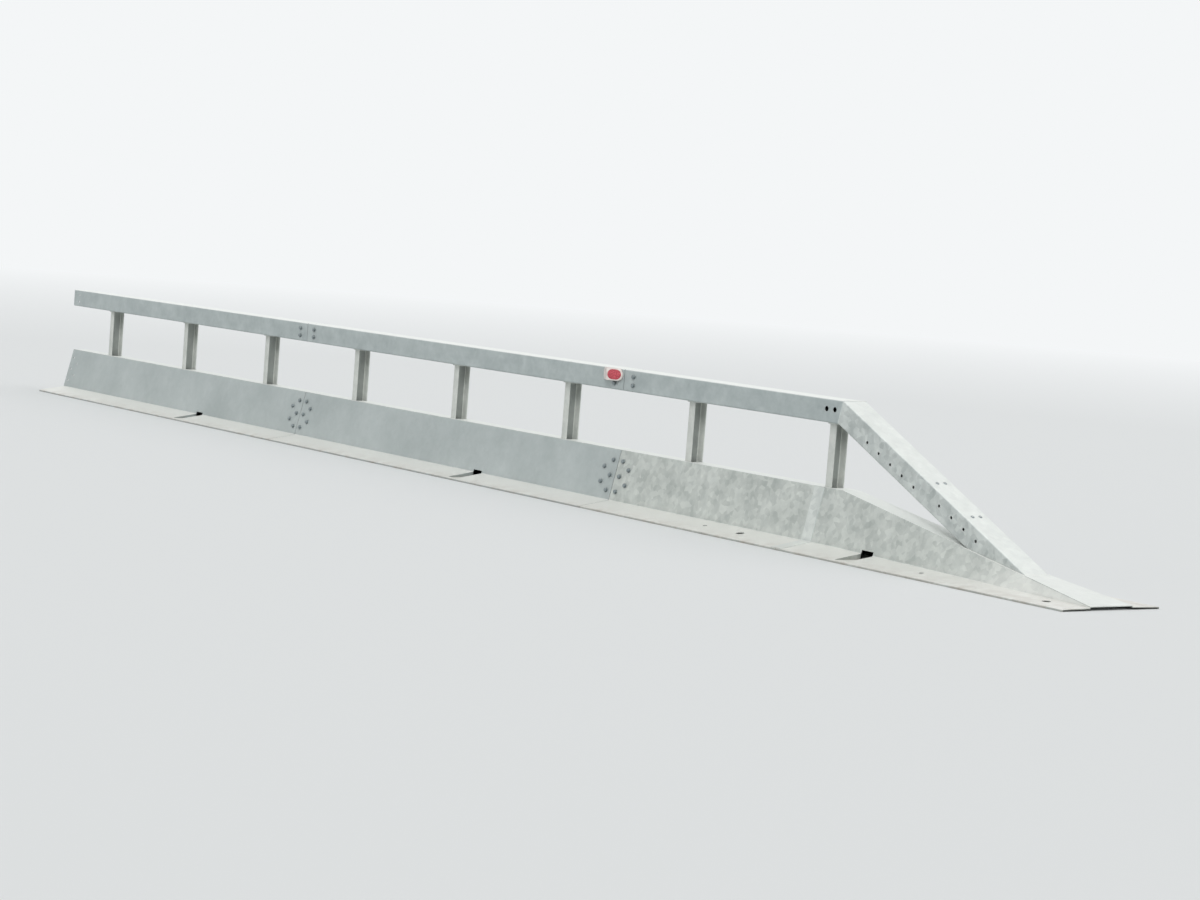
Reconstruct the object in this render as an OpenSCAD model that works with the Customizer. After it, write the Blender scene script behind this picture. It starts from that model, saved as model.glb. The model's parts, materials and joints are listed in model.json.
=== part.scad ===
// Free-standing steel road barrier: a ramped terminal and two straight elements, bolted end to end.
// X runs along the barrier with the nose at +X, the traffic side faces -Y, and the feet stand on Z = 0.

/* [Barrier] */
// Length of a straight element between its two splices
element_l = 4000; // [3300:100:4200]
// Height of the rail's top above the ground
barrier_h = 900; // [800:10:1200]
// Width of the base over both feet
base_w = 740; // [660:10:900]
// Open joint between the ends of two elements
joint_gap = 4; // [2:1:12]

/* [Body] */
// Thickness of the folded side panels
sheet_t = 4; // [3:0.5:6]
// Width of the sloped foot, from the base's edge to the fold
foot_w = 228; // [190:2:240]
// Height of the fold between foot and panel
foot_rise = 50; // [30:2:80]
// Height of the upright lip on the foot's outer edge
lip_h = 12; // [9:1:20]
// Radius of the folds, on the outer face
fold_r = 10; // [6:1:14]
// Height of the panels' top edge
panel_top_z = 375; // [360:5:470]
// Width of the body over the panels' top edges
cap_w = 132; // [128:1:160]
// Thickness of the cap that closes the body
cap_t = 3; // [2:0.5:4]
// Height of the cap's two inner legs
cap_leg_h = 40; // [20:1:60]

/* [Rail] */
// Width of the box rail
rail_w = 180; // [160:5:200]
// Height of the box rail
rail_h = 140; // [120:5:160]
// Wall of the box rail
rail_t = 4; // [3:0.5:6]
// Outer corner radius of the box rail
rail_r = 10; // [7:1:16]

/* [Posts] */
// Depth of a post across the barrier
post_depth = 100; // [80:1:112]
// Width of a post's flanges along the barrier
post_w = 55; // [48:1:90]
// Thickness of a post's flanges
post_flange_t = 7; // [4:0.5:9]
// Thickness of a post's web
post_web_t = 5; // [4:0.5:8]
// Length of the head plate along the rail
head_l = 80; // [70:2:160]
// Width of the head plate across the rail
head_w = 116; // [112:2:158]
// Thickness of the head plate
head_t = 8; // [5:0.5:12]
// Clearance round a post where it passes through the cap
post_gap = 1.5; // [1:0.25:2]

/* [Cross frames] */
// Length of a sole plate along the barrier
sole_l = 160; // [120:5:200]
// Thickness of the sole plates
sole_t = 6; // [4:0.5:7]
// Thickness of the gussets between post and panel
gusset_t = 6; // [4:0.5:10]
// Distance from the base's edge to the gusset's tip
gusset_inset = 60; // [40:2:90]

/* [Splices] */
// Radius of the splice bolt holes
bolt_hole_r = 9; // [6:0.5:12]
// Thickness of the panel splice plates
splice_t = 5; // [4:0.5:8]
// Distance from the joint to the inner column of three holes
inner_column_x = 51; // [36:1:60]
// Distance from the joint to the outer column of two holes
outer_column_x = 130; // [110:1:160]
// Distance from the panel's top edge to the first hole, down the slope
first_row_v = 70; // [66:1:84]
// Distance between the hole rows, down the slope
row_pitch = 50.5; // [44:0.5:54]
// Distance from the outermost hole to the splice plate's edge
splice_edge = 32; // [22:1:34]
// Wall of the sleeve inside the rail
sleeve_t = 5; // [4:0.5:8]
// Distance from the joint to the rail's pair of holes
rail_hole_x = 100; // [80:5:140]
// Vertical distance between the two holes of a rail pair
rail_hole_pitch = 56; // [40:2:90]

/* [Ramp and nose] */
// Distance from the first post's centre to the bend's lower corner
bend_overhang = 82; // [70:1:110]
// Horizontal run of the ramp rail from the bend to its foot
ramp_run = 1580; // [1500:20:1700]
// Height of the ramp rail's top face at its foot
ramp_foot_z = 105; // [90:1:120]
// Distance from the first post to where the body's top starts to fall
shoulder_x = 150; // [120:2:180]
// Distance from the first post to where the body's top meets the ramp rail's lower face
saddle_x = 1216; // [1150:2:1280]
// Width of the clear slot between the ramp rail's side and the panels beside it
ramp_ledge = 4; // [3:0.5:8]
// Length of the nose plate past the ramp rail's foot
nose_l = 550; // [440:10:900]
// Width of the foot at the tip of the nose
nose_foot_w = 205; // [180:5:230]
// Height of the fold at the tip of the nose
nose_fold_z = 15; // [14:0.5:20]
// Height of the panel above the fold at the tip
nose_panel_h = 4; // [3:0.5:8]
// Thickness of the nose plate
nose_t = 4; // [3:0.5:6]
// Distance from the first post back to the seam between straight and tapered panels
seam_post_x = 55; // [50:1:140]
// Width of the strip that covers that seam
strip_w = 84; // [70:2:120]
// Thickness of that strip
strip_t = 3; // [2:0.5:4]
// Length of the nose's sole plate along the barrier
nose_sole_l = 300; // [200:10:400]
// Distance between the holes along the ramp rail's sides
ramp_hole_pitch = 116; // [104:1:130]
// Distance from the bend to the ramp rail's first hole
ramp_hole_start = 307; // [260:1:330]
// Radius of the holes in the ramp rail
ramp_hole_r = 9; // [6:0.5:12]
// Distance from the ramp rail's top face down to its upper group of holes
upper_group_drop = 92; // [40:1:100]
// Distance from the ramp rail's top face down to its lower group of holes
lower_group_drop = 64; // [40:1:90]
// Distance from the bend to the middle between the rail's two lifting holes
lift_hole_x = 105; // [90:1:170]
// Height of the lifting holes over the rail's lower face
lift_hole_z = 80; // [50:1:90]
// Distance between the two lifting holes
lift_hole_pitch = 72; // [50:1:90]
// Radius of the lifting holes
lift_hole_r = 16; // [8:0.5:20]

/* [Foot openings] */
// Radius of the large anchor holes
anchor_r = 25; // [16:0.5:30]
// Radius of the small pin holes
pin_r = 14; // [9:0.5:18]
// Distance from the base's edge to the centres of both
anchor_inset = 130; // [110:1:140]
// Distance from the first post back to the terminal's anchor holes
anchor_post_x = 540; // [480:5:640]
// Distance from the first post back to the terminal's pin holes
pin_post_x = 880; // [780:5:980]
// Distance from the tip back to the nose's anchor holes
nose_anchor_x = 240; // [120:5:300]
// Distance from the tip back to the nose's pin holes
nose_pin_x = 1200; // [1000:10:1260]
// Length along the barrier of a drain opening at the fold
drain_l = 100; // [60:2:140]
// Height of a drain opening's top edge above the ground
drain_top_z = 68; // [56:1:90]
// Distance from the base's edge to the start of the drain's trough
drain_inset = 25; // [18:1:60]
// Distance from a post towards the nose to the middle of the drain beside it
drain_post_x = 485; // [420:5:560]

/* [Reflector] */
// Distance from the near joint to the reflector's centre
reflector_x = 118; // [116:2:150]
// Width of the reflector's oval housing
reflector_w = 200; // [170:2:228]
// Height of the reflector's oval housing
reflector_h = 80; // [60:2:80]
// Distance that the ridge between the housing's two slopes stands off the rail
reflector_d = 55; // [30:1:60]
// Thickness of the housing at its two ends
reflector_edge = 6; // [5:0.5:10]
// Width of the ridge
ridge_w = 12; // [8:1:20]
// Width of the rim round the lens
rim_w = 7; // [4:0.5:10]
// Thickness of the lens, half of it sunk into the slope
lens_d = 4; // [3:0.5:6]
// Distance from the rail's top down to the reflector's centre
reflector_drop = 41; // [41:1:44]

/* [Hidden] */
$fn = 48;
fit_gap = 0.3;
cut = 1;
fold_steps = 5;
loft_steps = 4;
posts_per_element = 3;
upper_holes = 5;
lower_holes = 4;
GALVANISED = "#a9b3b5";
GALVANISED_LIGHT = "#c3caca";
GALVANISED_DARK = "#8e999c";
HOUSING_GREY = "#d6d8d6";
LENS_RED = "#c23a4a";

// Places along the barrier
post_pitch = element_l / posts_per_element;
ramp_angle = atan2(barrier_h - ramp_foot_z, ramp_run);
first_post_u = posts_per_element / 2 * post_pitch;
bend_u = first_post_u + bend_overhang + rail_h * tan(ramp_angle / 2);
ramp_foot_u = bend_u + ramp_run;
terminal_l = ramp_foot_u + nose_l;
total_l = terminal_l + 2 * element_l - joint_gap / 2;
near_splice_x = total_l / 2 - terminal_l;
far_splice_x = near_splice_x - element_l;
bend_x = near_splice_x + bend_u;
ramp_foot_x = near_splice_x + ramp_foot_u;
tip_x = near_splice_x + terminal_l;
seam_u = first_post_u - seam_post_x;
shoulder_u = first_post_u + shoulder_x;
saddle_u = first_post_u + saddle_x;
rail_z = barrier_h - rail_h;

// Shape of the body
foot_y = base_w / 2 - foot_w;
nose_foot_y = base_w / 2 - nose_foot_w;
panel_run = foot_y - cap_w / 2;
panel_rise = panel_top_z - foot_rise;
panel_lean = panel_run / panel_rise;
panel_angle = atan2(-panel_rise, panel_run);
sheet_run = sheet_t / cos(atan(panel_lean));
saddle_z = rail_z - (saddle_x - bend_overhang) * tan(ramp_angle);
ramp_side_y = rail_w / 2 + sheet_t + ramp_ledge;
straight_fold = [foot_y, foot_rise];
straight_top = [cap_w / 2, panel_top_z];

// Posts are counted from the bend, away from the nose
function post_x(i) = near_splice_x + first_post_u - i * post_pitch;

// Points of the terminal's section in Y and Z at a place u from the splice
function between(u, table) = [for (k = [0, 1]) lookup(u, [for (row = table) [row[0], row[1][k]]])];
function fold_at(u) = between(u, [[shoulder_u, straight_fold], [terminal_l, [nose_foot_y, nose_fold_z]]]);
function top_at(u) = between(u, [
    [shoulder_u, straight_top], [saddle_u, [ramp_side_y, saddle_z]],
    [ramp_foot_u, [ramp_side_y, ramp_foot_z - nose_t]],
    [terminal_l, [nose_foot_y, nose_fold_z] + nose_panel_h * [-1, 1]]
]);
// The point on the line from fold to top that lies a drop below the top
function lowered(fold, top, drop) = top + (fold - top) * drop / (top.y - fold.y);

// Outer face of a side panel as a line in Y and Z, from the lip's lower edge to the panel's top
function panel_line(fold, top) = [[base_w / 2, 0], [base_w / 2, lip_h], fold, top];

// Geometry of folded sheets
function unit(v) = v / norm(v);
function left(v) = [-v.y, v.x];
function turn(angle) = angle > 180 ? angle - 360 : angle < -180 ? angle + 360 : angle;
function corner_arc(a, b, c, r) =
    let (
        u = unit(a - b), v = unit(c - b), half = acos(u * v) / 2,
        setback = min(r / tan(half), 0.45 * min(norm(a - b), norm(c - b))),
        arc_r = setback * tan(half), centre = b + unit(u + v) * arc_r / sin(half),
        first = b + u * setback - centre, last = b + v * setback - centre,
        start = atan2(first.y, first.x), sweep = turn(atan2(last.y, last.x) - start)
    )
    [for (i = [0:fold_steps]) centre + arc_r * [cos(start + sweep * i / fold_steps),
                                                sin(start + sweep * i / fold_steps)]];
function round_line(line, r) = [
    line[0],
    for (i = [1:len(line) - 2]) each corner_arc(line[i - 1], line[i], line[i + 1], r),
    line[len(line) - 1]
];
function mitre(a, b, c, t) =
    let (n1 = left(unit(b - a)), n2 = left(unit(c - b))) b + (n1 + n2) * t / (1 + n1 * n2);
// The line moved sideways by t, with its last point kept at the same height
function offset_line(line, t) =
    let (last = len(line) - 1, rise = unit(line[last] - line[last - 1]).y) [
        line[0] + left(unit(line[1] - line[0])) * t,
        for (i = [1:last - 1]) mitre(line[i - 1], line[i], line[i + 1], t),
        line[last] - [t / rise, 0]
    ];
function reversed(list) = [for (i = [len(list) - 1:-1:0]) list[i]];
function sheet_outline(line, t, gap = 0) =
    concat(offset_line(line, gap), reversed(offset_line(line, gap + t)));
function panel_outline(fold, top) = sheet_outline(round_line(panel_line(fold, top), fold_r), sheet_t);

module side(is_front) { mirror([0, is_front ? 1 : 0, 0]) children(); }

// Extrudes a Y-Z outline along X, from x0 to x1
module along_x(x0, x1) { translate([x0, 0, 0]) rotate([90, 0, 90]) linear_extrude(x1 - x0) children(); }

// Extrudes an X-Z outline across the barrier, w wide and centred
module across(w) { translate([0, w / 2, 0]) rotate([90, 0, 0]) linear_extrude(w) children(); }

// Local frame of the rear panel's outer face: +Y runs down the slope from the top edge, +Z out of it
module on_panel() { translate([0, cap_w / 2, panel_top_z]) rotate([panel_angle, 0, 0]) children(); }

module oval(l, h) {
    square([l - h, h], center = true);
    for (s = [-1, 1]) translate([s * (l - h) / 2, 0]) circle(d = h);
}

module rounded_box(w, h, r) {
    square([w - 2 * r, h], center = true);
    square([w, h - 2 * r], center = true);
    for (sx = [-1, 1], sy = [-1, 1]) translate([sx * (w / 2 - r), sy * (h / 2 - r)]) circle(r);
}

// Five bolt holes through both walls of a panel, to one side of the joint; toward is +1 or -1 along X
module panel_end_holes(joint_x, toward) {
    on_panel() for (hole = [[inner_column_x, 0], [inner_column_x, 2], [inner_column_x, 4],
                            [outer_column_x, 1], [outer_column_x, 3]])
        translate([joint_x + toward * hole.x, first_row_v + hole.y * row_pitch, -sheet_t - splice_t - cut])
            cylinder(r = bolt_hole_r, h = sheet_t + splice_t + 2 * cut);
}

module foot_hole(x, r) {
    translate([x, base_w / 2 - anchor_inset, -cut]) cylinder(r = r, h = foot_rise + 2 * cut);
}

// Trough across the foot that leads to the drain opening, with its floor at the lip's height
module drain_trough(x, fold) {
    foot_line = offset_line(panel_line(fold, fold + [0, panel_top_z]), sheet_t / 2);
    start_y = base_w / 2 - drain_inset;
    half = drain_l / 2 + sheet_t;
    along_x(x - half, x + half) polygon([
        [fold.x, lip_h - sheet_t], [start_y, lip_h - sheet_t],
        [start_y, lookup(start_y, [for (k = [2, 1]) [foot_line[k].x, foot_line[k].y]])],
        [fold.x, foot_line[2].y]
    ]);
}

module drain_cut(x, fold) {
    start_y = base_w / 2 - drain_inset;
    inner_y = fold.x - drain_inset;
    along_x(x - drain_l / 2, x + drain_l / 2)
        polygon([[inner_y, lip_h], [start_y, lip_h], [start_y, drain_top_z], [inner_y, drain_top_z]]);
}

// Straight side panel between two joints
module straight_panel(x0, x1) {
    along_x(x0 + joint_gap / 2, x1 - joint_gap / 2) polygon(panel_outline(straight_fold, straight_top));
}

module element_panel(x0, is_front) {
    drain_x = x0 + element_l / 2 + drain_post_x;
    color(GALVANISED) side(is_front) difference() {
        union() {
            straight_panel(x0, x0 + element_l);
            drain_trough(drain_x, straight_fold);
        }
        panel_end_holes(x0, 1);
        panel_end_holes(x0 + element_l, -1);
        drain_cut(drain_x, straight_fold);
    }
}

module terminal_panel(is_front) {
    color(GALVANISED) side(is_front) difference() {
        straight_panel(near_splice_x, near_splice_x + seam_u);
        panel_end_holes(near_splice_x, 1);
        foot_hole(post_x(0) - anchor_post_x, anchor_r);
        foot_hole(post_x(0) - pin_post_x, pin_r);
    }
}

// Places between two stations of a loft, with the second of the two as the last
function steps(a, b) = [for (i = [1:loft_steps]) a + (b - a) * i / loft_steps];

// Side panel that falls from the shoulder to the tip, lofted through its stations
module taper_panel(is_front) {
    drain_u = first_post_u + drain_post_x;
    stations = concat([seam_u + joint_gap / 2, shoulder_u], steps(shoulder_u, saddle_u),
                      steps(saddle_u, ramp_foot_u), steps(ramp_foot_u, terminal_l));
    outlines = [for (u = stations) panel_outline(fold_at(u), top_at(u))];
    n = len(outlines[0]);
    points = [for (s = [0:len(stations) - 1], p = outlines[s]) [near_splice_x + stations[s], p.x, p.y]];
    // Each four-sided patch splits along the same diagonal on the outer and on the inner face
    walls = [for (s = [0:len(stations) - 2], i = [0:n - 1])
        let (a = s * n + i, b = s * n + (i + 1) % n)
            each i < n / 2 ? [[a, b + n, b], [a, a + n, b + n]] : [[a, a + n, b], [b, a + n, b + n]]];
    first = [for (i = [0:n / 2 - 2]) each [[i, i + 1, n - 2 - i], [i, n - 2 - i, n - 1 - i]]];
    last = [for (f = first) [for (i = [2:-1:0]) f[i] + (len(stations) - 1) * n]];
    color(GALVANISED_LIGHT) side(is_front) difference() {
        union() {
            polyhedron(points, concat(walls, first, last));
            drain_trough(near_splice_x + drain_u, fold_at(drain_u));
        }
        foot_hole(tip_x - nose_anchor_x, anchor_r);
        foot_hole(tip_x - nose_pin_x, pin_r);
        drain_cut(near_splice_x + drain_u, fold_at(drain_u));
    }
}

module seam_strip(is_front) {
    line = [for (p = round_line(panel_line(straight_fold, straight_top), fold_r)) if (p.y > lip_h) p];
    color(GALVANISED_LIGHT) side(is_front)
        along_x(near_splice_x + seam_u - strip_w / 2, near_splice_x + seam_u + strip_w / 2)
            polygon(sheet_outline(line, strip_t, -strip_t));
}

// Cap with two inner legs that follow the panels, and an opening for each post
module cap(x0, x1, posts) {
    leg_y = cap_w / 2 - sheet_run - fit_gap;
    leg_run = cap_leg_h * panel_lean;
    leg_w = cap_t / cos(atan(panel_lean));
    half = [
        [cap_w / 2, panel_top_z + cap_t], [cap_w / 2, panel_top_z], [leg_y, panel_top_z],
        [leg_y + leg_run, panel_top_z - cap_leg_h], [leg_y + leg_run - leg_w, panel_top_z - cap_leg_h],
        [leg_y - leg_w, panel_top_z]
    ];
    color(GALVANISED_LIGHT) difference() {
        along_x(x0 + joint_gap / 2, x1 - joint_gap / 2)
            polygon(concat(half, [for (p = reversed(half)) [-p.x, p.y]]));
        for (i = posts)
            translate([post_x(i), 0, panel_top_z + cap_t / 2])
                cube([post_w + 2 * post_gap, post_depth + 2 * post_gap, cap_t + 2 * cut], center = true);
    }
}

module rail_outline(gap = 0, wall = rail_t) {
    translate([0, rail_z + rail_h / 2]) difference() {
        rounded_box(rail_w - 2 * gap, rail_h - 2 * gap, rail_r - gap);
        rounded_box(rail_w - 2 * (gap + wall), rail_h - 2 * (gap + wall), rail_r - rail_t);
    }
}

// The pair of bolt holes through both side walls of the rail
module rail_end_holes(x) {
    for (s = [-1, 1])
        translate([x, 0, rail_z + rail_h / 2 + s * rail_hole_pitch / 2]) rotate([90, 0, 0])
            cylinder(r = bolt_hole_r, h = rail_w + 2 * cut, center = true);
}

module element_rail(x0) {
    color(GALVANISED) difference() {
        along_x(x0 + joint_gap / 2, x0 + element_l - joint_gap / 2) rail_outline();
        rail_end_holes(x0 + rail_hole_x);
        rail_end_holes(x0 + element_l - rail_hole_x);
    }
}

// Everything on the ramp's side of the mitre plane at the bend; side_sign -1 takes the other side
module beyond_mitre(side_sign = 1) {
    reach = 2 * ramp_run;
    translate([bend_x, 0, barrier_h]) rotate([0, ramp_angle / 2, 0])
        translate([side_sign * reach, 0, 0]) cube(2 * reach, center = true);
}

module terminal_rail() {
    color(GALVANISED) difference() {
        along_x(near_splice_x + joint_gap / 2, bend_x + rail_h) rail_outline();
        beyond_mitre();
        rail_end_holes(near_splice_x + rail_hole_x);
        for (s = [-1, 1])
            translate([bend_x - lift_hole_x + s * lift_hole_pitch / 2, 0, rail_z + lift_hole_z])
                rotate([90, 0, 0]) cylinder(r = lift_hole_r, h = rail_w + 2 * cut, center = true);
    }
}

// Frame of the ramp rail: +X runs down the ramp from the bend, Z = 0 is the rail's top face
module on_ramp() { translate([bend_x, 0, barrier_h]) rotate([0, ramp_angle, 0]) children(); }

module ramp_space(gap) {
    intersection() {
        on_ramp() translate([0, -rail_w / 2 - gap, -rail_h - gap])
            cube([2 * ramp_run, rail_w + 2 * gap, rail_h + 2 * gap]);
        translate([bend_x, -rail_w, 0]) cube([ramp_run + gap, 2 * rail_w, barrier_h + gap]);
    }
}

// Hole through both sides of the ramp rail, at a whole number of pitches from the first
module ramp_hole(i, drop) {
    on_ramp() translate([ramp_hole_start + i * ramp_hole_pitch, 0, -drop]) rotate([90, 0, 0])
        cylinder(r = ramp_hole_r, h = rail_w + 2 * cut, center = true);
}

module ramp_rail() {
    color(GALVANISED_LIGHT) difference() {
        on_ramp() translate([0, 0, -barrier_h]) along_x(-rail_h, 1.5 * ramp_run) rail_outline();
        beyond_mitre(-1);
        translate([ramp_foot_x, -rail_w, -barrier_h]) cube([ramp_run, 2 * rail_w, 2 * barrier_h]);
        translate([bend_x, -rail_w, sole_t - barrier_h]) cube([2 * ramp_run, 2 * rail_w, barrier_h]);
        for (i = [0:upper_holes - 1]) ramp_hole(i, upper_group_drop);
        for (i = [1:lower_holes]) ramp_hole(upper_holes + i, lower_group_drop);
    }
}

// Sheet that lies on the panels' tops between two places along the terminal
module top_sheet(u0, u1, t) {
    x0 = near_splice_x + u0;
    x1 = near_splice_x + u1;
    a = top_at(u0);
    b = top_at(u1);
    intersection() {
        across(base_w) polygon([[x0, a.y], [x1, b.y], [x1, b.y + t], [x0, a.y + t]]);
        linear_extrude(barrier_h) polygon([[x0, a.x], [x1, b.x], [x1, -b.x], [x0, -a.x]]);
    }
}

module ramp_cap() {
    color(GALVANISED_LIGHT) difference() {
        top_sheet(shoulder_u, saddle_u, cap_t);
        ramp_space(fit_gap);
    }
}

module nose_plate() { color(GALVANISED_LIGHT) top_sheet(ramp_foot_u + fit_gap, terminal_l, nose_t); }

// Gusset in the Y-Z plane from y0 out to the panel's inner face, up to top
module gusset_outline(y0, fold, top) {
    line = offset_line(panel_line(fold, top), sheet_t + fit_gap);
    tip_y = base_w / 2 - gusset_inset;
    tip_z = lookup(tip_y, [[line[2].x, line[2].y], [line[1].x, line[1].y]]);
    polygon([[y0, sole_t], [tip_y, sole_t], [tip_y, tip_z], line[2], line[3], [y0, line[3].y]]);
}

// Sole plate between the feet, with its length along X and its centre at x
module sole_plate(x, l) {
    half = base_w / 2 - fold_r - fit_gap;
    translate([x - l / 2, -half, 0]) cube([l, 2 * half, sole_t]);
}

module cross_frame(i) {
    color(GALVANISED_DARK) {
        sole_plate(post_x(i), sole_l);
        for (is_front = [true, false]) side(is_front)
            along_x(post_x(i) - gusset_t / 2, post_x(i) + gusset_t / 2)
                gusset_outline(post_depth / 2, straight_fold,
                               lowered(straight_fold, straight_top, cap_leg_h + fit_gap));
    }
}

module nose_frame() {
    u = ramp_foot_u - nose_sole_l / 2;
    color(GALVANISED_DARK) {
        sole_plate(near_splice_x + u, nose_sole_l);
        for (is_front = [true, false]) side(is_front)
            along_x(near_splice_x + u - gusset_t / 2, near_splice_x + u + gusset_t / 2)
                gusset_outline(rail_w / 2 + fit_gap, fold_at(u), lowered(fold_at(u), top_at(u), sheet_t));
    }
}

// Channel post, open towards the nose, with its head plate under the rail
module post(i) {
    color(GALVANISED) translate([post_x(i), 0, 0]) {
        translate([0, 0, sole_t]) linear_extrude(rail_z - head_t - sole_t) {
            translate([(post_web_t - post_w) / 2, 0]) square([post_web_t, post_depth], center = true);
            for (s = [-1, 1]) translate([0, s * (post_depth - post_flange_t) / 2])
                square([post_w, post_flange_t], center = true);
        }
        translate([-head_l / 2, -head_w / 2, rail_z - head_t]) cube([head_l, head_w, head_t]);
    }
}

module panel_splice(joint_x, is_front) {
    half_l = outer_column_x + splice_edge;
    color(GALVANISED_DARK) side(is_front) difference() {
        on_panel() translate([joint_x - half_l, first_row_v - splice_edge, -sheet_t - fit_gap - splice_t])
            cube([2 * half_l, 4 * row_pitch + 2 * splice_edge, splice_t]);
        panel_end_holes(joint_x, 1);
        panel_end_holes(joint_x, -1);
    }
}

module rail_sleeve(joint_x) {
    half_l = rail_hole_x + splice_edge;
    color(GALVANISED_DARK) difference() {
        along_x(joint_x - half_l, joint_x + half_l) rail_outline(rail_t + fit_gap, sleeve_t);
        for (s = [-1, 1]) rail_end_holes(joint_x + s * rail_hole_x);
    }
}

// Frame of the reflector: its centre on the rail's traffic face, with -Y away from the rail
module on_reflector() {
    translate([near_splice_x - reflector_x, -rail_w / 2, barrier_h - reflector_drop]) children();
}

// Oval prism off the rail's face
module reflector_oval(l, h) { rotate([90, 0, 0]) linear_extrude(2 * reflector_d) oval(l, h); }

// Everything under the ridge and its two slopes, raised by rise
module under_slopes(rise) {
    half = [[ridge_w / 2, -reflector_d], [reflector_w / 2, -reflector_edge], [reflector_w / 2, reflector_d]];
    translate([0, -rise, 0]) linear_extrude(2 * reflector_h, center = true)
        polygon(concat(half, [for (p = reversed(half)) [-p.x, p.y]]));
}

// Space of the oval lens, over the slope that faces the nose
module lens_space(gap) {
    inner = ridge_w / 2 + gap;
    outer = reflector_w / 2 - rim_w - gap;
    translate([(inner + outer) / 2, 0, 0]) reflector_oval(outer - inner, reflector_h - 2 * (rim_w + gap));
}

module reflector_housing() {
    color(HOUSING_GREY) on_reflector() difference() {
        intersection() {
            reflector_oval(reflector_w, reflector_h);
            under_slopes(0);
        }
        difference() {
            lens_space(0);
            under_slopes(-lens_d / 2);
        }
    }
}

module reflector_lens() {
    color(LENS_RED) on_reflector() difference() {
        intersection() {
            lens_space(fit_gap);
            under_slopes(lens_d / 2);
        }
        under_slopes(-lens_d / 2);
    }
}

terminal_panel(true);  // terminal_front_panel
terminal_panel(false);  // terminal_rear_panel
cap(near_splice_x, near_splice_x + shoulder_u, [0, 1]);  // terminal_cap
terminal_rail();
taper_panel(true);  // taper_front_panel
taper_panel(false);  // taper_rear_panel
seam_strip(true);  // front_seam_strip
seam_strip(false);  // rear_seam_strip
ramp_cap();
ramp_rail();
nose_plate();
nose_frame();
element_panel(far_splice_x, true);  // near_front_panel
element_panel(far_splice_x, false);  // near_rear_panel
cap(far_splice_x, near_splice_x, [2, 3, 4]);  // near_cap
element_rail(far_splice_x);  // near_rail
element_panel(far_splice_x - element_l, true);  // far_front_panel
element_panel(far_splice_x - element_l, false);  // far_rear_panel
cap(far_splice_x - element_l, far_splice_x, [5, 6, 7]);  // far_cap
element_rail(far_splice_x - element_l);  // far_rail
for (i = [1:8]) {
    post(i - 1);
    cross_frame(i - 1);
}
panel_splice(near_splice_x, true);  // near_front_splice
panel_splice(near_splice_x, false);  // near_rear_splice
rail_sleeve(near_splice_x);  // near_rail_sleeve
panel_splice(far_splice_x, true);  // far_front_splice
panel_splice(far_splice_x, false);  // far_rear_splice
rail_sleeve(far_splice_x);  // far_rail_sleeve
reflector_housing();
reflector_lens();
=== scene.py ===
import json
import math
import random

import bmesh
import bpy
from mathutils import Matrix, Vector


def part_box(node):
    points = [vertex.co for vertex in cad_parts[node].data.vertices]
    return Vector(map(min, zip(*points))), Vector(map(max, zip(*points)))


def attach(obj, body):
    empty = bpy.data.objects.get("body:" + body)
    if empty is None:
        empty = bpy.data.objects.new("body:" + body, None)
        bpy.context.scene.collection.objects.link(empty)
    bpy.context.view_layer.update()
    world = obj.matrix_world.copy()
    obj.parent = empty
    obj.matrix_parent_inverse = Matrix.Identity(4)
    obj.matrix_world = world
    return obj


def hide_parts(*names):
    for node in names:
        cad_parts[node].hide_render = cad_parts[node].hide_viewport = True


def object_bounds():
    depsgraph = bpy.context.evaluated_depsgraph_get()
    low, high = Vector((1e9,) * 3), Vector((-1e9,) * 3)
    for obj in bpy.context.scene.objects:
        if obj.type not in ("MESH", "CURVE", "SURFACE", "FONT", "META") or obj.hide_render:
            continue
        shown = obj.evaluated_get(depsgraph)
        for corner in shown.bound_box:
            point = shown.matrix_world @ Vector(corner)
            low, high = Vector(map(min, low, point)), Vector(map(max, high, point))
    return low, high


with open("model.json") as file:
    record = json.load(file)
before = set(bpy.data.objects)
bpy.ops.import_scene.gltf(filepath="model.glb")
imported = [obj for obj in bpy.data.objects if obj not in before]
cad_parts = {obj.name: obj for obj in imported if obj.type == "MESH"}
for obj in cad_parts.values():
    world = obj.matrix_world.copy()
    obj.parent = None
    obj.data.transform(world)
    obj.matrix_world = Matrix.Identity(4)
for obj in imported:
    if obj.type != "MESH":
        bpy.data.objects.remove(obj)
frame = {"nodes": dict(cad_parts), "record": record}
cadLow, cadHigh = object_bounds()
print("frame loaded:", len(frame["nodes"]), "nodes")

mm = 0.001
rootBody = "root"
chance = random.Random(11)

# Places that the frame gives, in metres
joints = {"near": (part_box("near_rail")[1].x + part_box("terminal_rail")[0].x) / 2,
          "far": (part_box("far_rail")[1].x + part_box("near_rail")[0].x) / 2}
flanks = {"front": -1, "rear": 1}
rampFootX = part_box("ramp_rail")[1].x
railLow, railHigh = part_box("near_rail")
railMiddleZ = (railLow.z + railHigh.z) / 2

# The ramp falls this far over this run, in mm
ramp = {"run": 1580, "fall": 795}
rampAngle = math.atan2(ramp["fall"], ramp["run"])
bendX = rampFootX - ramp["run"] * mm

# Outer line of the straight side panels, in mm from the centre plane and from the ground
panel = {"top": (66, 375), "fold": (142, 50), "lip": (370, 12)}
panelTop, panelFold, panelLip = (Vector((0, y, z)) * mm for y, z in panel.values())
panelDown = (panelFold - panelTop).normalized()
panelOut = Vector((0, -panelDown.z, panelDown.y))


# Finishes

def linear(hexColour):
    parts = [int(hexColour[i:i + 2], 16) / 255 for i in (1, 3, 5)]
    return (*[v / 12.92 if v <= 0.04045 else ((v + 0.055) / 1.055) ** 2.4 for v in parts], 1.0)


def perMetre(sizeMm):
    return 1000 / sizeMm  # a texture's scale from the size of one of its features


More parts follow.
